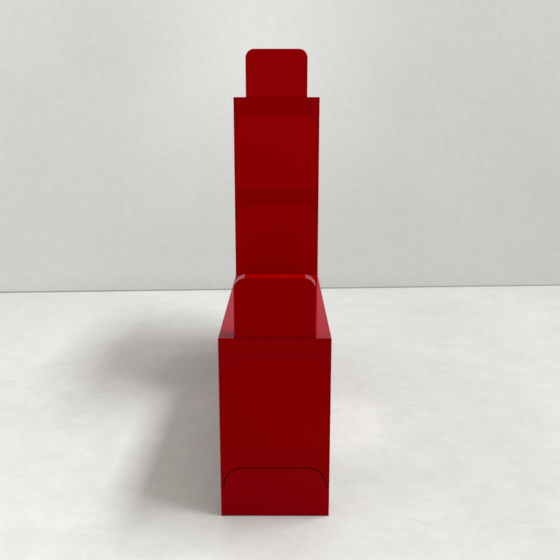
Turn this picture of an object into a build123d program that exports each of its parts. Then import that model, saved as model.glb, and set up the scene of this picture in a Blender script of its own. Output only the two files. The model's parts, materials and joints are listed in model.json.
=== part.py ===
from build123d import *
from build123d.topology import SkipClean
from math import sqrt
import os

# A plug-together storage unit of moulded plastic: a low bay in front and a tall bay behind.
#
# X runs across the depth of the shelves, Y along the run of the bays and Z up. The origin is on
# the floor under the middle uprights. Hollow uprights carry the shelves. Each upright has rounded
# shoulders, where a shelf sits astride it like a saddle, and a rounded tab on top, which stands up
# through the shelf and plugs into the open underside of the next upright.
#
# A shelf ends at the centre plane of its uprights, so two shelves share the middle ones. Where
# there is no second shelf, an end cap closes the other half of the saddle.

# ---- Driving dimensions, in millimetres ----------------------------------------------------------

# The unit
depth = 300.0                # shelf depth, across the unit
bay_pitch = 773.0            # from one upright's centre to the next, along the run
tier_pitch = 316.0           # from one shelf's top to the next
first_shelf_height = 202.0   # from the floor to the lowest shelf's top
low_bay_shelves = 2
tall_bay_shelves = 4

# Shelves
shelf_band = 54.0            # visible height of a shelf's edge
deck_skin = 4.0
rib_thickness = 3.0
rib_depth = 34.0             # of the ribs below the deck
cross_ribs = 4               # across each shelf, under the deck
long_rib_offset = 50.0       # from the middle of the deck to the long rib on each side
gusset_radius = 40.0         # rounded corner between a shelf's edge and its saddle
seam = 0.4                   # between two shelves, or a shelf and an end cap

# Uprights and feet
upright_thickness = 60.0
wall = 3.5                   # moulded wall of the uprights, saddles and shelf edges
shoulder_radius = 55.0
shoulder_ledge = 8.0         # step under the tip of a saddle's horn
upright_reveal = 0.6         # shadow line between an upright and the saddle on it
foot_reveal = 3.0            # the wider one above the feet
core_setback = 10.0          # of the core that carries the saddle, from an upright's broad faces
edge_break = 1.5             # chamfer of the outer corners

# Tabs, and the slots and sockets that take them
tab_width = 214.0
tab_rise = 161.0             # above the shelf's top
tab_corner_radius = 30.0
tab_draft = 1.0              # a side, from the shelf's top to the tab's
tab_clearance = 0.5          # all round, in slots and sockets
seat_gap = 0.3               # between a saddle's ribs and the core under them
guide_overrun = 6.0          # of the socket's guide ribs above the tab's top

# End cap tongues, which slide in under the deck of the shelf
tongue_width = 12.0
tongue_thickness = 3.0
tongue_reach = 12.0
tongue_gap = 0.3             # under the deck
tongue_side_gap = 1.0        # to the rib beside the slot

# Rubber pads under the feet
pad_inset = 42.0             # from a foot's end to the middle of the pad
pad_length = 44.0
pad_width = 40.0
pad_corner = 5.0             # chamfer of the corners
pad_projection = 1.0         # below the foot's rim
pad_recess = 1.5             # inside the rim
pad_seat_margin = 8.0        # of the foot's seat plate past each end of a pad

# ---- Derived sizes -------------------------------------------------------------------------------

neck_width = depth - 2 * shoulder_ledge
core_corner = shoulder_radius * (2 - sqrt(2))    # straight, and tangent to the shoulder's curve
saddle_depth = shelf_band + shoulder_radius
upright_height = tier_pitch - shelf_band
foot_height = first_shelf_height - shelf_band - pad_projection
socket_thickness = upright_thickness - 2 * wall
tab_thickness = socket_thickness - 2 * tab_clearance
slot_width = tab_width + 2 * tab_clearance
guide_offset = (slot_width + rib_thickness) / 2
tongue_offset = guide_offset + (rib_thickness + tongue_width) / 2 + tongue_side_gap
pad_offset = depth / 2 - pad_inset
tray_half = (bay_pitch - upright_thickness) / 2

CENTRE = Align.CENTER
LOW = Align.MIN
HIGH = Align.MAX


def eased_top(width, height, size, ease=fillet):
    """A panel standing on the sketch's X axis, with its two upper corners rounded or cut."""
    with BuildSketch() as panel:
        Rectangle(width, height, align=(CENTRE, LOW))
        ease(panel.vertices().group_by(Axis.Y)[-1], size)
    return panel.sketch


def shoulders(height, inset, ease=fillet):
    """Outline of the shoulders under a saddle, drawn in by the inset. At 0 it is the arch."""
    return eased_top(neck_width - 2 * inset, height - inset, shoulder_radius - inset, ease)


def long_top_edges(block):
    """The two edges that run along Y on top of a block."""
    return block.edges().filter_by(Axis.Y).group_by(Axis.Z)[-1]


def tab_block(height):
    """The outside of a tab, from the panel's foot up to its rounded top.

    Above the shelf the broad faces lean in a little, which leads the tab into its socket.
    """
    half_thickness = tab_thickness / 2
    with BuildPart() as tab:
        with BuildSketch(Plane.YZ):
            with BuildLine():
                Polyline((0, 0), (half_thickness, 0), (half_thickness, height - tab_rise),
                         (half_thickness - tab_draft, height), (0, height), close=True)
            make_face()
            mirror(about=Plane.YZ)
        extrude(amount=tab_width / 2, both=True)
        fillet(tab.edges().filter_by(Axis.Y).group_by(Axis.Z)[-1], tab_corner_radius)
    return tab.part


def hollow_panel(height, reveal):
    """An upright or a foot: a hollow panel, open below, with its shoulders and its tab.

    The panel stops short of the saddle by the reveal. A thinner core goes on up inside the
    saddle. It carries the saddle's ribs and keeps the reveal dark.
    """
    tab_top = height + shelf_band + tab_rise
    ledge_height = height - shoulder_radius - reveal
    with BuildPart() as panel:
        with BuildSketch(Plane.XZ):
            Rectangle(depth, ledge_height, align=(CENTRE, LOW))
        extrude(amount=upright_thickness / 2, both=True)
        chamfer(panel.edges().filter_by(Axis.Z), edge_break)
        with BuildSketch(Plane.XZ):
            add(shoulders(height, reveal))
        extrude(amount=upright_thickness / 2, both=True)
        with BuildSketch(Plane.XZ):
            add(eased_top(neck_width, height, core_corner, chamfer))
        extrude(amount=upright_thickness / 2 - core_setback, both=True)
        add(tab_block(tab_top))
        # The cavity follows the outside, one wall in, with its corners cut straight
        with BuildSketch(Plane.XZ):
            Rectangle(depth - 2 * wall, ledge_height - wall, align=(CENTRE, LOW))
            add(shoulders(height, reveal + wall, chamfer))
        extrude(amount=socket_thickness / 2, both=True, mode=Mode.SUBTRACT)
        with BuildSketch(Plane.XZ):
            add(eased_top(tab_width - 2 * wall, tab_top - wall, tab_corner_radius - wall, chamfer))
        extrude(amount=tab_thickness / 2 - wall, both=True, mode=Mode.SUBTRACT)
    return panel.part


def half_saddle():
    """Half of the cup that sits astride an upright's shoulders.

    The upright's centre plane is y = 0, the closing wall is on the +Y side and the deck's top is
    z = 0. The tab's slot is open at the centre plane.
    """
    half_thickness = upright_thickness / 2
    inside = half_thickness - wall
    with BuildPart() as saddle:
        with BuildSketch():
            with Locations((0, seam / 2)):
                Rectangle(depth, half_thickness - seam / 2, align=(CENTRE, LOW))
        extrude(amount=-saddle_depth)
        chamfer(long_top_edges(saddle), edge_break)
        with BuildSketch(Plane.XY.offset(-deck_skin)):
            Rectangle(depth - 2 * wall, inside, align=(CENTRE, LOW))
        extrude(amount=-saddle_depth, mode=Mode.SUBTRACT)
        # The arch over the shoulders
        with BuildSketch(Plane.XZ):
            with Locations((0, -2 * saddle_depth)):
                add(shoulders(2 * saddle_depth - shelf_band, 0))
        extrude(amount=upright_thickness, both=True, mode=Mode.SUBTRACT)
        # A rib on each side of the slot, which stands on the core
        with BuildSketch(Plane.XY.offset(-deck_skin)):
            with Locations((-guide_offset, seam / 2), (guide_offset, seam / 2)):
                Rectangle(rib_thickness, inside - seam / 2, align=(CENTRE, LOW))
        extrude(amount=deck_skin + seat_gap - shelf_band)
        with BuildSketch():
            Rectangle(slot_width, tab_thickness + 2 * tab_clearance)
        extrude(amount=-shelf_band, mode=Mode.SUBTRACT)
    return saddle.part


saddle_half = half_saddle()

# ---- The four mouldings --------------------------------------------------------------------------

with BuildPart() as upright_mould:
    add(hollow_panel(upright_height, upright_reveal))
    # Guide ribs hold the tab of the upright below
    with BuildSketch(Plane.XZ):
        with Locations((-guide_offset, 0), (guide_offset, 0)):
            Rectangle(rib_thickness, tab_rise + guide_overrun, align=(CENTRE, LOW))
    extrude(amount=socket_thickness / 2, both=True)
    # A stiffening web, above the tab's reach
    web_top = upright_height - upright_reveal - wall
    with BuildSketch(Plane.XZ):
        with Locations((0, web_top)):
            Rectangle(rib_thickness, web_top - tab_rise - guide_overrun, align=(CENTRE, HIGH))
    extrude(amount=socket_thickness / 2, both=True)

with BuildPart() as foot_mould:
    add(hollow_panel(foot_height, foot_reveal))
    # A seat plate for each pad, across the open underside
    with BuildSketch(Plane.XY.offset(pad_recess)):
        with Locations((-pad_offset, 0), (pad_offset, 0)):
            Rectangle(pad_length + 2 * pad_seat_margin, socket_thickness)
    extrude(amount=wall)

with BuildPart() as shelf_mould:
    # Deck and edges, with the rounded corners that lead into the saddles
    with BuildSketch(Plane.YZ):
        Rectangle(2 * tray_half, shelf_band, align=(CENTRE, HIGH))
        with Locations((tray_half, -shelf_band)):
            Rectangle(gusset_radius, gusset_radius, align=(HIGH, HIGH))
        with Locations((-tray_half, -shelf_band)):
            Rectangle(gusset_radius, gusset_radius, align=(LOW, HIGH))
        corner_centre = (tray_half - gusset_radius, -shelf_band - gusset_radius)
        with Locations(corner_centre, (-corner_centre[0], corner_centre[1])):
            Circle(gusset_radius, mode=Mode.SUBTRACT)
    extrude(amount=depth / 2, both=True)
    chamfer(long_top_edges(shelf_mould), edge_break)
    with BuildSketch(Plane.XY.offset(-deck_skin)):
        Rectangle(depth - 2 * wall, 2 * tray_half)
    extrude(amount=-saddle_depth, mode=Mode.SUBTRACT)
    # Ribs under the deck
    with BuildSketch(Plane.XY.offset(-deck_skin)):
        with Locations((-long_rib_offset, 0), (0, 0), (long_rib_offset, 0)):
            Rectangle(rib_thickness, 2 * tray_half)
        with GridLocations(0, 2 * tray_half / (cross_ribs + 1), 1, cross_ribs):
            Rectangle(depth - 2 * wall, rib_thickness)
    extrude(amount=-rib_depth)
    # A half saddle at each end, its closing wall against the tray. The deck between the uprights
    # stays a face of its own, because that is where things are set down.
    with SkipClean():
        with Locations(Location((0, bay_pitch / 2, 0), (0, 0, 180)), Location((0, -bay_pitch / 2, 0))):
            add(saddle_half)

with BuildPart() as cap_mould:
    add(saddle_half)
    with BuildSketch() as cap_outline:
        Rectangle(depth, upright_thickness)
        chamfer(cap_outline.vertices().group_by(Axis.Y)[-1], edge_break)
    extrude(amount=-saddle_depth, mode=Mode.INTERSECT)
    # Tongues, which reach past the centre plane
    with BuildSketch(Plane.XY.offset(-deck_skin - tongue_gap)):
        with Locations((-tongue_offset, -tongue_reach), (tongue_offset, -tongue_reach)):
            Rectangle(tongue_width, tongue_reach + upright_thickness / 2 - wall, align=(CENTRE, LOW))
    extrude(amount=-tongue_thickness)
    with BuildSketch(Plane.XY.offset(-deck_skin)):
        with Locations((-tongue_offset, seam / 2), (tongue_offset, seam / 2)):
            Rectangle(tongue_width, upright_thickness / 2 - wall - seam / 2, align=(CENTRE, LOW))
    extrude(amount=-tongue_thickness)

# ---- The assembly --------------------------------------------------------------------------------

os.makedirs("parts", exist_ok=True)


def write(name, mould, y, z, turn=0):
    """One piece: a copy of its moulding in its place, turned about its own vertical axis."""
    with BuildPart() as piece:
        with Locations(Location((0, y, z), (0, 0, turn))):
            add(mould.part, clean=False)
    piece.part.label = name
    export_step(piece.part, f"parts/{name}.step")


def shelf_top(level):
    """Height of a shelf's top, counted from 0 at the lowest."""
    return first_shelf_height + level * tier_pitch


upright_rows = {
    "near": (-bay_pitch, low_bay_shelves),
    "middle": (0.0, tall_bay_shelves),
    "far": (bay_pitch, tall_bay_shelves),
}

for row, (y, shelves) in upright_rows.items():
    write(f"foot_{row}", foot_mould, y, pad_projection)
    for level in range(1, shelves):
        write(f"upright_{level}_{row}", upright_mould, y, shelf_top(level - 1))

with BuildPart() as foot_pads:
    with BuildSketch() as pad_outlines:
        with GridLocations(2 * pad_offset, bay_pitch, 2, len(upright_rows)):
            Rectangle(pad_length, pad_width)
        chamfer(pad_outlines.vertices(), pad_corner)
    extrude(amount=pad_projection + pad_recess)
foot_pads.part.label = "foot_pads"
export_step(foot_pads.part, "parts/foot_pads.step")

for level in range(tall_bay_shelves):
    write(f"shelf_{level}_tall", shelf_mould, bay_pitch / 2, shelf_top(level))
    write(f"cap_{level}_far", cap_mould, bay_pitch, shelf_top(level))
    if level < low_bay_shelves:
        write(f"shelf_{level}_low", shelf_mould, -bay_pitch / 2, shelf_top(level))
        write(f"cap_{level}_near", cap_mould, -bay_pitch, shelf_top(level), turn=180)
    else:
        write(f"cap_{level}_middle", cap_mould, 0.0, shelf_top(level), turn=180)
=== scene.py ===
# %% [markdown]
# # A plug-together shelving unit in gloss red plastic
#
# The unit is modelled as a stack of injection mouldings: hollow uprights, ribbed shelves that sit
# astride them like saddles, end caps, and rubber pads under the feet. The solids are loaded below,
# each in its place and at its estimated size, and they already have their shape. So this lesson
# models no piece again. It is about finish: how light, gloss and small moulding faults turn plain
# solids into plastic that looks used.
#
# Every tone and light below was tuned until the picture came close to one photograph. They match
# that picture, and weren't measured on the object. Some tones are painted light and shade, and say
# so where they stand. Where a cause such as wear is named, it is a guess that gives the number a
# meaning.

# %% Load the solids
import json
import math

import bpy
import numpy as np
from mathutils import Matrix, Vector


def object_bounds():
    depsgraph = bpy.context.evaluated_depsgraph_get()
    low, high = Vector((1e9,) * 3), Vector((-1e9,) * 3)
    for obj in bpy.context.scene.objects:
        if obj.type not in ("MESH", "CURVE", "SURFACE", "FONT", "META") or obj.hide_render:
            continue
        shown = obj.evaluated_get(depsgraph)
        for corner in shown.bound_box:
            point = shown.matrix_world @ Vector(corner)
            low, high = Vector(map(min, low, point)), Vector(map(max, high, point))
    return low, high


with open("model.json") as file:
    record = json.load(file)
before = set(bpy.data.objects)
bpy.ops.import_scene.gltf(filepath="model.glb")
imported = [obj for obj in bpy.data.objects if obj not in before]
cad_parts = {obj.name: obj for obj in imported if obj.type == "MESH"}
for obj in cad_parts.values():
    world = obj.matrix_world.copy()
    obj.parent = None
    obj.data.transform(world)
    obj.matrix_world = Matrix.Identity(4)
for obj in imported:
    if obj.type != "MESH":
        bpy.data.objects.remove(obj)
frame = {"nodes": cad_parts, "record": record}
solid_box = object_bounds()
low_corner, high_corner = (Vector(corner) for corner in solid_box)
print("overall size in metres:", [round(side, 3) for side in high_corner - low_corner])

# %% [markdown]
# ## The camera
#
# The photograph was taken at chest height, square to the narrow end, by somebody standing a good
# step back. Its vanishing points give the lens and the tilt. A camera could be aimed with a Track To
# constraint, but a fixed turn is simpler to read, and it can't drift when the model changes.

# %% Set up the camera
PHOTO_PIXELS = 560
FOCAL_PIXELS = 726.7                       # the lens, measured in the photograph's own pixels
SENSOR_WIDTH = 36.0                        # millimetres
CAMERA_STAND_OFF = 1.829                   # metres before the low bay's end
CAMERA_SIDEWAYS = 0.018
CAMERA_HEIGHT = 1.096
TILT_DOWN = math.radians(12.94)
TURN_LEFT = 0.0023                         # radians

lens = bpy.data.cameras.new("camera")
lens.sensor_width = SENSOR_WIDTH
lens.lens = FOCAL_PIXELS / PHOTO_PIXELS * SENSOR_WIDTH
camera = bpy.data.objects.new("camera", lens)
camera.location = (CAMERA_SIDEWAYS, low_corner.y - CAMERA_STAND_OFF, CAMERA_HEIGHT)
camera.rotation_euler = (math.pi / 2 - TILT_DOWN, 0.0, TURN_LEFT)
bpy.context.scene.collection.objects.link(camera)
bpy.context.scene.camera = camera
bpy.context.scene.view_settings.view_transform = "Standard"
print("lens in millimetres:", round(lens.lens, 1))

# %% [markdown]
# ## A short way to write node trees
#
# Every finish here is a tree of nodes. Written out with Blender's own calls, each node takes four
# or five lines, and the idea drowns in them. A few small helpers keep each node to one line. The
# first makes a node and fills its sockets: a socket that is given another socket is linked to it,
# and one that is given a number or a colour simply holds it. The others are built on it.


# %% Helpers for one node
def fill(tree, socket, value):
    """Link the socket to another one, or store the number or colour in it."""
    if isinstance(value, bpy.types.NodeSocket):
        tree.links.new(value, socket)
    else:
        socket.default_value = value


def put(tree, kind, sockets=None, **settings):
    """Make a node, set its options, and link or fill its sockets."""
    node = tree.nodes.new(kind)
    for name, value in settings.items():
        setattr(node, name, value)
    for name, value in (sockets or {}).items():
        fill(tree, node.inputs[name], value)
    return node


def calc(tree, operation, first, second=0.0):
    """The result of one arithmetic step on two values, each a number or a socket."""
    return put(tree, "ShaderNodeMath", {0: first, 1: second}, operation=operation).outputs[0]


def remap(tree, value, low, high, to_low, to_high, smooth=False):
    """Stretch the range from low to high onto the range from to_low to to_high, and clamp it."""
    sockets = {"Value": value, "From Min": low, "From Max": high, "To Min": to_low, "To Max": to_high}
    style = "SMOOTHSTEP" if smooth else "LINEAR"
    return put(tree, "ShaderNodeMapRange", sockets, interpolation_type=style).outputs["Result"]


def parts_of(tree, vector):
    """The X, Y and Z of a place or a direction, by name."""
    return put(tree, "ShaderNodeSeparateXYZ", {0: vector}).outputs


# %% [markdown]
# ## Patterns and colours
#
# Moulding and wear leave cloudy patterns, and noise makes them all. Its values gather around one
# half and hardly ever leave the range from 0.3 to 0.7, so that range is what gets stretched. A
# picture could be painted and wrapped around each piece in its place, but it would need a
# flattened map of the piece, and it would blur close by.


# %% Helpers for patterns and colours
def noise(tree, place, scale, detail=2.0, roughness=0.5):
    """Cloudy values around one half, with about scale clouds to the metre."""
    sockets = {"Vector": place, "Scale": scale, "Detail": detail, "Roughness": roughness}
    return put(tree, "ShaderNodeTexNoise", sockets).outputs["Fac"]


def clouds(tree, place, scale, to_low, to_high, detail=2.0, roughness=0.5):
    """The same clouds, stretched so that they go from to_low to to_high."""
    return remap(tree, noise(tree, place, scale, detail, roughness), 0.3, 0.7, to_low, to_high)


def stretched(tree, place, scale, turn=(0.0, 0.0, 0.0), shift=(0.0, 0.0, 0.0)):
    """The place, moved, turned and scaled, so that a pattern on it runs long one way."""
    sockets = {"Vector": place, "Location": shift, "Rotation": turn, "Scale": scale}
    return put(tree, "ShaderNodeMapping", sockets).outputs["Vector"]


def blended(tree, amount, first, second):
    """A colour between two others: the first where the amount is 0, the second where it is 1."""
    node = put(tree, "ShaderNodeMix", data_type="RGBA")
    for index, value in ((0, amount), (6, first), (7, second)):
        fill(tree, node.inputs[index], value)
    return node.outputs[2]


def scaled(tree, colour, factor):
    """A colour times a factor that changes from place to place."""
    sockets = {0: colour, "Scale": factor}
    return put(tree, "ShaderNodeVectorMath", sockets, operation="SCALE").outputs[0]


def shade(colour, factor):
    """A colour made lighter or darker by a fixed factor, with its alpha."""
    return tuple(channel * factor for channel in colour) + (1.0,)


def new_material(name):
    """An empty material, its node tree and the output node's surface socket."""
    material = bpy.data.materials.new(name)
    material.use_nodes = True
    material.node_tree.nodes.clear()
    output = put(material.node_tree, "ShaderNodeOutputMaterial")
    return material, material.node_tree, output.inputs["Surface"]


# %% [markdown]
# ## The resin, and painted light on what faces up
#
# Gloss plastic is a coloured base under a clear, smooth skin. The Principled shader has both: its
# base colour is the pigment, and its specular layer is the skin. One flat red would do from afar,
# but in the photograph the two bays differ by a shade, and the deck is lighter than this light
# alone makes it. So the red turns lighter along the run, from the low bay to the tall one, and what
# faces up gets painted light, for the light that the real deck has and this light doesn't give. Two
# batches of resin, and bleaching of what faces up, stand in for the causes, which aren't known.
# Slow clouds, as resin leaves where it flows in a mould, are added on top.

# %% Resin and painted top light
PIGMENT = (0.355, 0.0003, 0.0012)
PIGMENT_WITH_FLOOR_REFLECTION = (0.350, 0.0001, 0.0036)    # of the near foot, which the photograph shows bluer: a painted reflection of the pale floor
TONE_SWITCH_ENDS = (-0.72, -0.05)                # along the run, where the near tone gives way to the far one
FLOW_DEPTH = 0.015                         # how much lighter or darker the resin is where it flowed
LEVEL_ENOUGH = (0.7, 0.95)                 # the normal's Z, from a slope to a surface that faces up
PAINTED_TOP_LIGHT = 0.175                          # painted light: how much lighter such a surface is made, at full wear


def resin_with_top_light(tree, place, moved, flat, near_colour, far_colour, wear_and_top_light):
    """Two tones blended along Y, times the flow's clouds plus the painted light on what faces up."""
    tone_switch = remap(tree, parts_of(tree, place)["Y"], *TONE_SWITCH_ENDS, 0.0, 1.0)
    flow = clouds(tree, moved, 2.3, 1.0 - FLOW_DEPTH, 1.0 + FLOW_DEPTH, detail=3.0)
    top_light = remap(tree, parts_of(tree, flat)["Z"], *LEVEL_ENOUGH, 0.0, PAINTED_TOP_LIGHT * wear_and_top_light)
    return scaled(tree, blended(tree, tone_switch, near_colour, far_colour), calc(tree, "ADD", flow, top_light))


# the red's tone changes from near to far over this length
print("batches change over", round(TONE_SWITCH_ENDS[1] - TONE_SWITCH_ENDS[0], 2), "metres")

# %% [markdown]
# ## Painted shade in grooves, and wear
#
# The bottom of a groove is darkened in colour, a painted shade for the light its sides keep out. The
# Ambient Occlusion node finds such places, because it looks around each point and says how open it is.
# Hands and books leave hairline scratches, gathered in patches, and they rub the edges. An edge is
# where the Bevel node's softened normal leaves the flat one. All of this could be painted by hand,
# but these rules find every groove and edge by themselves, on any piece.

# %% Painted groove shade, scratches and rubbed edges
GROOVE_SHADE_REACH = 0.012                        # metres that a point looks out for the sides of a groove
# painted shade: the colour at the bottom of a groove
GROOVE_SHADE = (0.012, 0.002, 0.002, 1.0)
GROOVE_SHADE_COVER = 0.95                         # how much of the pigment it hides at the bottom
PROBES = 6                                 # samples for each look around a point


def groove_shaded(tree, pigment):
    """The pigment, darkened by painted shade from where a point is six tenths open to where it is two."""
    probe = put(tree, "ShaderNodeAmbientOcclusion", {"Distance": GROOVE_SHADE_REACH}, samples=PROBES)
    groove_shade = remap(tree, probe.outputs["AO"], 0.6, 0.2, 0.0, GROOVE_SHADE_COVER)
    return blended(tree, groove_shade, pigment, GROOVE_SHADE)


def scratches(tree, moved, wear_and_top_light):
    """The stronger of two families of hairlines, each noise drawn out long one way, in patches."""
    hair_one = noise(tree, stretched(tree, moved, (9.0, 420.0, 420.0), turn=(0.3, 0.2, 0.35)), 1.0)
    hair_two = noise(tree, stretched(tree, moved, (380.0, 7.0, 380.0), turn=(0.2, 0.1, -0.25)), 1.0)
    hairs = remap(tree, calc(tree, "MAXIMUM", hair_one, hair_two), 0.66, 0.78, 0.0, wear_and_top_light)
    patches = remap(tree, noise(tree, moved, 5.0, detail=4.0), 0.45, 0.65, 0.0, 1.0, smooth=True)
    return calc(tree, "MULTIPLY", hairs, patches)


def rubbed_edges(tree, moved, flat, softened, wear_and_top_light):
    """The wear, where the cosine between the two normals falls below one, broken up by clouds."""
    along = put(tree, "ShaderNodeVectorMath", {0: softened, 1: flat}, operation="DOT_PRODUCT")
    edge = remap(tree, along.outputs["Value"], 0.985, 0.80, 0.0, 1.0)
    return calc(tree, "MULTIPLY", edge, remap(tree, noise(tree, moved, 24.0), 0.4, 0.7, 0.0, wear_and_top_light))


# how far around a point the painted shade in grooves looks
print("grime reaches", GROOVE_SHADE_REACH * 1000, "mm into a groove's surroundings")

# %% [markdown]
# ## The skin
#
# The skin of a moulding isn't flat: shrinkage leaves long shallow waves, and the mould's polish
# leaves a fine ripple, so reflections wander. Two Bump nodes give both, one upon the other. They
# start from the softened normal, so that each corner catches a thin line of light, as a moulded
# one does. The waves could be modelled, but at half a millimetre no outline would show them.
#
# The reflections are tinted, and the skin's index is 1.2, where real plastic has about 1.5. Both
# were moved away from the real values to match the photograph, whose faces show almost none of the
# green that a white glare would add. The camera's own processing may be the cause. Under another
# light, real plastic would look glossier than this, and its reflections less red.

# %% Gloss red plastic
GLARE_TINT = (1.0, 0.02, 0.05, 1.0)
SKIN_IOR = 1.2
SKIN_ROUGHNESS = (0.07, 0.12)              # it is a little uneven
EDGE_SOFTNESS = 0.0022                     # metres
WAVE_DEPTH = 0.00045                       # metres, of the waves that shrinkage leaves
RIPPLE_DEPTH = 0.00001
SCUFFED = (0.46, 0.03, 0.035, 1.0)
SCUFF_COVER = 0.25                         # how much of the pigment a scuff hides
SCUFF_DULLNESS = 0.22                      # the roughness that it adds


def relief(tree, depth, height, normal):
    """The normal, turned by the slope of a height that goes from 0 to the depth."""
    sockets = {"Strength": 1.0, "Distance": depth, "Height": height, "Normal": normal}
    return put(tree, "ShaderNodeBump", sockets).outputs["Normal"]


def moulded_plastic(name, near_tone, far_tone, wear_and_top_light, shift, near_pigment_and_reflection=PIGMENT):
    """Gloss plastic. Tones scale the pigment at the run's two ends; the wear, 0 to 1, also scales painted
    top light.
    """
    material, tree, surface = new_material(name)
    place = put(tree, "ShaderNodeTexCoord").outputs["Object"]
    moved = stretched(tree, place, (1.0, 1.0, 1.0), shift=shift)
    flat = put(tree, "ShaderNodeNewGeometry").outputs["True Normal"]
    softened = put(tree, "ShaderNodeBevel", {"Radius": EDGE_SOFTNESS}, samples=PROBES).outputs["Normal"]

    near_colour, far_colour = shade(near_pigment_and_reflection, near_tone), shade(PIGMENT, far_tone)
    # the pigment, with painted shade in its grooves and painted light on what faces up
    pigment = groove_shaded(tree, resin_with_top_light(tree, place, moved, flat, near_colour, far_colour, wear_and_top_light))
    worn = calc(tree, "MAXIMUM", scratches(tree, moved, wear_and_top_light),
                rubbed_edges(tree, moved, flat, softened, wear_and_top_light))

    uneven = clouds(tree, moved, 11.0, *SKIN_ROUGHNESS, detail=3.0)
    waves = relief(tree, WAVE_DEPTH, noise(tree, moved, 3.6, detail=1.0), softened)
    ripple = relief(tree, RIPPLE_DEPTH, noise(tree, moved, 210.0, detail=1.0), waves)

    plastic = put(tree, "ShaderNodeBsdfPrincipled", {
        "Base Color": blended(tree, calc(tree, "MULTIPLY", worn, SCUFF_COVER), pigment, SCUFFED),
        "Roughness": calc(tree, "ADD", uneven, calc(tree, "MULTIPLY", worn, SCUFF_DULLNESS)),
        "IOR": SKIN_IOR,
        "Specular Tint": GLARE_TINT,
        "Normal": ripple,
    })
    tree.links.new(plastic.outputs[0], surface)
    return material


print("straight on, the skin reflects", round(((SKIN_IOR - 1) / (SKIN_IOR + 1)) ** 2, 4), "of the light")

# %% [markdown]
# ## Rubber
#
# The pads under the feet are soft black rubber, moulded matt. They hardly show, but they lift the
# unit a millimetre off the floor and leave the dark line under it. Plain dark grey would nearly do.
# The fine grain keeps the light from glinting on it, and the grey bloom is what dry rubber gets.

# %% Matt rubber
RUBBER_GREY = 0.018


def matt_rubber(name):
    """Black rubber with a fine grain and a bloom of grey where it has dried."""
    material, tree, surface = new_material(name)
    place = put(tree, "ShaderNodeTexCoord").outputs["Object"]
    bloom = remap(tree, noise(tree, place, 60.0, detail=4.0), 0.35, 0.75, 0.0, 1.0)
    colour = blended(tree, bloom, shade((RUBBER_GREY,) * 3, 1.0), shade((RUBBER_GREY,) * 3, 2.0))
    grain = noise(tree, place, 1400.0, detail=2.0)
    bumps = put(tree, "ShaderNodeBump", {"Strength": 0.6, "Distance": 0.0001, "Height": grain})
    rubber = put(tree, "ShaderNodeBsdfPrincipled", {
        "Base Color": colour,
        "Roughness": remap(tree, grain, 0.3, 0.7, 0.72, 0.88),
        "Normal": bumps.outputs["Normal"],
    })
    tree.links.new(rubber.outputs[0], surface)
    return material


# %% [markdown]
# ## Each piece gets its finish
#
# Each kind of moulding has its own tone and its own pattern of flow and wear. The tones were matched
# to the photograph kind by kind, so part of what they hold may really be light and not pigment. The
# end caps are the darkest, the uprights of the tall bay are lighter than those of the low one, and
# the near foot is bluer, by a painted reflection of the pale floor. The shelves, which carry things,
# are scuffed most, and their tops get the most painted light. The shift moves each kind's pattern to
# another part of the noise, so that no two kinds show the same one.

# %% Assign the finishes
finishes = {
    "upright_plastic": moulded_plastic("upright_plastic", 0.81, 0.925, wear_and_top_light=0.35, shift=(0.0, 0.0, 0.0)),
    "shelf_plastic": moulded_plastic("shelf_plastic", 0.86, 0.92, wear_and_top_light=0.8, shift=(3.1, 0.7, 1.9)),
    "cap_plastic": moulded_plastic("cap_plastic", 0.775, 0.78, wear_and_top_light=0.4, shift=(1.3, 5.2, 0.4)),
    "foot_plastic": moulded_plastic("foot_plastic", 0.825, 0.87, wear_and_top_light=0.7, shift=(6.4, 2.2, 3.7),
                                    near_pigment_and_reflection=PIGMENT_WITH_FLOOR_REFLECTION),
    "pad_rubber": matt_rubber("pad_rubber"),
}
slot_of = {part["node"]: part["material_slot"] for part in frame["record"]["subparts"]}
for name, solid in frame["nodes"].items():
    solid.data.materials.clear()
    solid.data.materials.append(finishes[slot_of[name]])
print({slot: list(slot_of.values()).count(slot) for slot in finishes})

# %% [markdown]
# ## From numbers to a surface
#
# The floor could be a single plane from the Add menu. Built from an array, it shows the way in
# which any surface goes from numbers to a mesh: a grid of points first, then the quads that join
# each point to its neighbours. What only surrounds the unit is the stage.


# %% Helpers for the stage
def grid_mesh(name, points):
    """A mesh over a grid of points, an array of rows, columns and 3.

    Point (i, j) is vertex i times columns plus j, and each quad joins it to (i, j+1),
    (i+1, j+1) and (i+1, j), which turns the quads' fronts up when i grows along Y and j along X.
    """
    rows, columns = points.shape[:2]
    number = np.arange(rows * columns).reshape(rows, columns)
    corners = (number[:-1, :-1], number[:-1, 1:], number[1:, 1:], number[1:, :-1])
    quads = np.stack(corners, axis=-1).reshape(-1, 4)
    mesh = bpy.data.meshes.new(name)
    mesh.from_pydata(points.reshape(-1, 3).tolist(), [], quads.tolist())
    mesh.update()
    return mesh


def lay(name, points, material):
    """A grid of points becomes an object of the stage, with its finish."""
    piece = bpy.data.objects.new(name, grid_mesh(name, points))
    piece.data.materials.append(material)
    bpy.context.scene.collection.objects.link(piece)
    print(name, "quads:", len(piece.data.polygons))


# %% [markdown]
# ## Floor paint
#
# The floor looks like pale painted concrete with a low sheen. Its paint is made lighter towards the
# wall, the left and the front: painted light, where the window alone leaves the floor too dim. Faint
# clouds, fine specks and scuffs are each one more noise over the one before, of the same kind as in
# the photograph but not in its places. The three soft ovals are painted light and shade: lighter
# beside the low bay, darker before the foot and in the tall bay's shadow. They were set where the
# floor came out too dark or too light against the photograph. Why isn't known, and the light may be
# what is wrong there.

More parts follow.
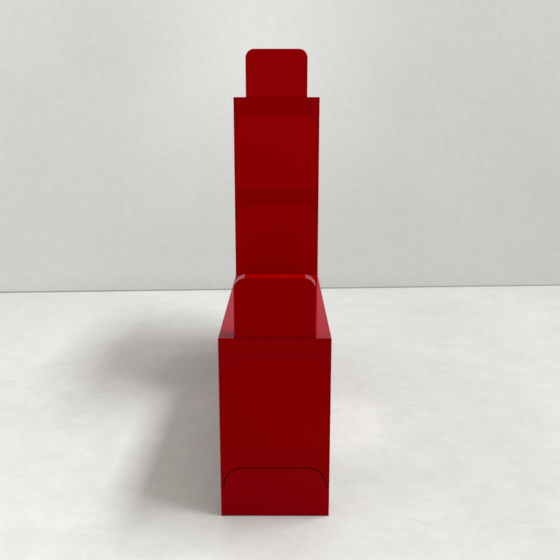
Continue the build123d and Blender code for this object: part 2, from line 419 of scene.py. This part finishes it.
# %% Floor paint and the grey of the joint
FLOOR_PAINT = (0.896, 0.912, 0.886)
FLOOR_DARKEST = 0.67                       # of the paint's lightness, on the right, where no painted light is added
FLOOR_GRAIN = 0.075                        # how much lighter or darker its specks are
DRAG_SHADE = 0.6                           # of the paint's lightness, in a scuff
DRAG_STRENGTH = 0.5
JOINT_GREY = (0.42, 0.41, 0.40)
# Each patch's middle and its reach along X and Y, and how much lighter (painted light) or darker (painted
# shade) it makes the paint
FLOOR_PAINTED_LIGHT_AND_SHADE = (
    ((0.22, -0.19), (0.30, 0.40), 0.14),   # painted light beside the low bay
    ((0.0, -0.86), (0.26, 0.25), -0.08),   # painted shade before the foot
    ((-0.38, 0.38), (0.28, 0.34), -0.12),  # painted shade beside the tall bay, in its shadow
)


def patch(tree, place, middle, reach, change):
    """A factor on the paint: one plus the change in the middle of an oval with a soft rim."""
    from_middle = stretched(tree, place, (1 / reach[0], 1 / reach[1], 0.0),
                            shift=(-middle[0] / reach[0], -middle[1] / reach[1], 0.0))
    distance = put(tree, "ShaderNodeVectorMath", {0: from_middle}, operation="LENGTH").outputs["Value"]
    return remap(tree, distance, 1.0, 0.35, 1.0, 1.0 + change, smooth=True)


def painted_light_share(tree, place):
    """The share of painted light at each spot: more to the left, towards the wall and at the front."""
    spot = parts_of(tree, place)
    left_and_back = calc(tree, "ADD", remap(tree, spot["X"], 0.75, -0.85, 0.0, 0.72),
                         remap(tree, spot["Y"], -1.1, 1.8, 0.0, 0.38))
    return calc(tree, "ADD", left_and_back, remap(tree, spot["Y"], -0.45, -1.0, 0.0, 0.13))


def painted_floor(name):
    """Pale paint with painted light and shade, slow clouds in its tone and its sheen, a fine grain, and
    patches of scuffs.
    """
    material, tree, surface = new_material(name)
    place = put(tree, "ShaderNodeTexCoord").outputs["Object"]
    painted_lightness = calc(tree, "ADD", painted_light_share(tree, place), clouds(tree, place, 1.3, 0.0, 0.1, detail=5.0))
    painted = blended(tree, painted_lightness, shade(FLOOR_PAINT, FLOOR_DARKEST), shade(FLOOR_PAINT, 1.0))
    grain_and_painted_light = clouds(tree, place, 8.0, 1.0 - FLOOR_GRAIN, 1.0 + FLOOR_GRAIN, detail=5.0, roughness=0.9)
    for middle, reach, change in FLOOR_PAINTED_LIGHT_AND_SHADE:
        grain_and_painted_light = calc(tree, "MULTIPLY", grain_and_painted_light, patch(tree, place, middle, reach, change))
    drags = noise(tree, stretched(tree, place, (14.0, 70.0, 1.0), turn=(0.0, 0.0, 0.5)), 1.0, detail=6.0)
    patches = remap(tree, noise(tree, place, 3.1, detail=3.0), 0.5, 0.7, 0.0, DRAG_STRENGTH, smooth=True)
    scuffs = calc(tree, "MULTIPLY", remap(tree, drags, 0.55, 0.70, 0.0, 1.0), patches)
    paint = put(tree, "ShaderNodeBsdfPrincipled", {
        "Base Color": blended(tree, scuffs, scaled(tree, painted, grain_and_painted_light), shade(FLOOR_PAINT, DRAG_SHADE)),
        "Roughness": clouds(tree, place, 2.6, 0.30, 0.45, detail=4.0),
        "Specular IOR Level": 0.35,
    })
    tree.links.new(paint.outputs[0], surface)
    return material


def dark_joint(name):
    """The matt grey of a gap that light hardly reaches."""
    material, tree, surface = new_material(name)
    gap = put(tree, "ShaderNodeBsdfPrincipled", {"Base Color": shade(JOINT_GREY, 1.0), "Roughness": 0.9})
    tree.links.new(gap.outputs[0], surface)
    return material


# %% [markdown]
# ## The floor and its joint with the wall
#
# The floor ends in a thin dark line where it meets the wall. The wall isn't quite square to the
# unit, so the floor's last row of points follows a slanted line, and a low upright strip on that
# line is the joint. The wall itself needs no mesh, because the world is drawn behind everything.

# %% Lay the floor
FLOOR_HALF_WIDTH = 4.0
FLOOR_NEAR = -9.0
FLOOR_STEPS = 9                            # points each way
WALL_DISTANCE = 1.872                      # from the origin to the wall, straight ahead
WALL_SKEW = 0.058                          # how much farther away it gets, per metre to the right
JOINT_HEIGHT = 0.009

across, share = np.meshgrid(np.linspace(-FLOOR_HALF_WIDTH, FLOOR_HALF_WIDTH, FLOOR_STEPS),
                            np.linspace(0, 1, FLOOR_STEPS))
wall_line = WALL_DISTANCE + WALL_SKEW * across
lay("floor", np.stack((across, FLOOR_NEAR + share * (wall_line - FLOOR_NEAR), 0 * across), axis=-1),
    painted_floor("floor_paint"))
first_and_last = slice(None, None, FLOOR_STEPS - 1)
lay("joint", np.stack((across, wall_line, share * JOINT_HEIGHT), axis=-1)[first_and_last],
    dark_joint("joint_grey"))

# %% [markdown]
# ## The window
#
# The shadow falls to the left and is soft, so the light is large, and high on the right. It is taken
# to be one long window in the roof. Where the shadow's edges lie, and how far each one blurs, gives
# the window's place and size by a fit. It leaves a rest, so both are estimates. A sun lamp would be
# simpler, but its rays run side by side, and this shadow spreads. So the light is an area lamp of
# the window's size, six metres away.

# %% Hang the window
LAMP_PLACE = Vector((2.60, -0.62, 5.35))
LAMP_WIDTH = 1.09                          # across the run
LAMP_LENGTH = 3.24                         # and along it
LAMP_POWER = 256.0
LAMP_COLOUR = (0.97, 1.0, 1.01)

light = bpy.data.lights.new("window", "AREA")
light.shape = "RECTANGLE"
light.size = LAMP_WIDTH
light.size_y = LAMP_LENGTH
light.energy = LAMP_POWER
light.color = LAMP_COLOUR
lamp = bpy.data.objects.new("window", light)
lamp.location = LAMP_PLACE
# An area lamp shines along its own -Z, so these two turns point its +Z away from the origin
back = LAMP_PLACE.normalized()
lamp.rotation_euler = (-math.asin(back.y), math.atan2(back.x, back.z), 0.0)
bpy.context.scene.collection.objects.link(lamp)
print("the window is", round(LAMP_PLACE.length, 2), "metres from the foot of the unit")

# %% [markdown]
# ## The room
#
# The world is the rest of the room, and it has two faces. As a light it is plain and dim. Seen
# directly or in a reflection it is the pale wall, which Light Path's rays tell apart. In a real room
# the two would be one. Here each has its own strength and colour, and reflections show only half of
# the wall's tone, because that matches the photograph. A second mesh could be the wall, but it would
# throw its own light back on the unit. The wall's tone holds painted light and shade: it is lighter
# higher up and on the left, a painted glow lies behind the unit's top, a painted shade lies just
# above the floor, and it has blotches and the grain of plaster.

# %% Light the room
AMBIENT = 0.59
AMBIENT_COLOUR = (1.0, 0.945, 0.875, 1.0)
WALL_COLOUR = (1.0, 1.0, 0.96, 1.0)
WALL_LOW = 0.595                           # the wall's tone below the camera's height
WALL_HIGH = 0.65
WALL_LEFT = 1.045                          # and how much lighter or darker each side is
WALL_RIGHT = 0.965
WALL_PAINTED_GLOW = 1.15                           # a painted glow behind the unit's top
WALL_FOOT = 0.91                           # painted shade just above the floor
WALL_IN_GLOSS = 0.53                       # of the wall's tone, in reflections
COLOUR_IN_GLOSS = (0.96, 1.0, 1.2, 1.0)

world = bpy.data.worlds.new("room")
world.use_nodes = True
room = world.node_tree
room.nodes.clear()
rays = put(room, "ShaderNodeLightPath").outputs
heading = put(room, "ShaderNodeTexCoord").outputs["Generated"]
toward = parts_of(room, heading)
from_middle = calc(room, "ABSOLUTE", calc(room, "ADD", toward["X"], 0.03))
painted_glow = calc(room, "MULTIPLY", remap(room, from_middle, 0.22, 0.0, 0.0, WALL_PAINTED_GLOW - 1.0, smooth=True),
            remap(room, toward["Z"], -0.20, 0.06, 0.0, 1.0, smooth=True))
wall = remap(room, toward["Z"], -0.22, 0.16, WALL_LOW, WALL_HIGH, smooth=True)
for factor in (
    remap(room, toward["X"], -0.35, 0.35, WALL_LEFT, WALL_RIGHT),
    calc(room, "ADD", painted_glow, 1.0),
    remap(room, toward["Z"], -0.24, -0.205, WALL_FOOT, 1.0, smooth=True),
    remap(room, rays["Is Camera Ray"], 0.0, 1.0, WALL_IN_GLOSS, 1.0),
    clouds(room, heading, 5.0, 0.97, 1.03, detail=4.0),
    clouds(room, heading, 110.0, 0.965, 1.035, detail=3.0, roughness=0.9),
):
    wall = calc(room, "MULTIPLY", wall, factor)
wall_colour = blended(room, rays["Is Camera Ray"], COLOUR_IN_GLOSS, WALL_COLOUR)
ambient = put(room, "ShaderNodeBackground", {"Color": AMBIENT_COLOUR, "Strength": AMBIENT})
backdrop = put(room, "ShaderNodeBackground", {"Color": wall_colour, "Strength": wall})
seen = calc(room, "MAXIMUM", rays["Is Camera Ray"],
            calc(room, "MAXIMUM", rays["Is Glossy Ray"], rays["Is Transmission Ray"]))
either = put(room, "ShaderNodeMixShader", {0: seen, 1: ambient.outputs[0], 2: backdrop.outputs[0]})
put(room, "ShaderNodeOutputWorld", {"Surface": either.outputs[0]})
bpy.context.scene.world = world
print("the room has", len(room.nodes), "nodes")
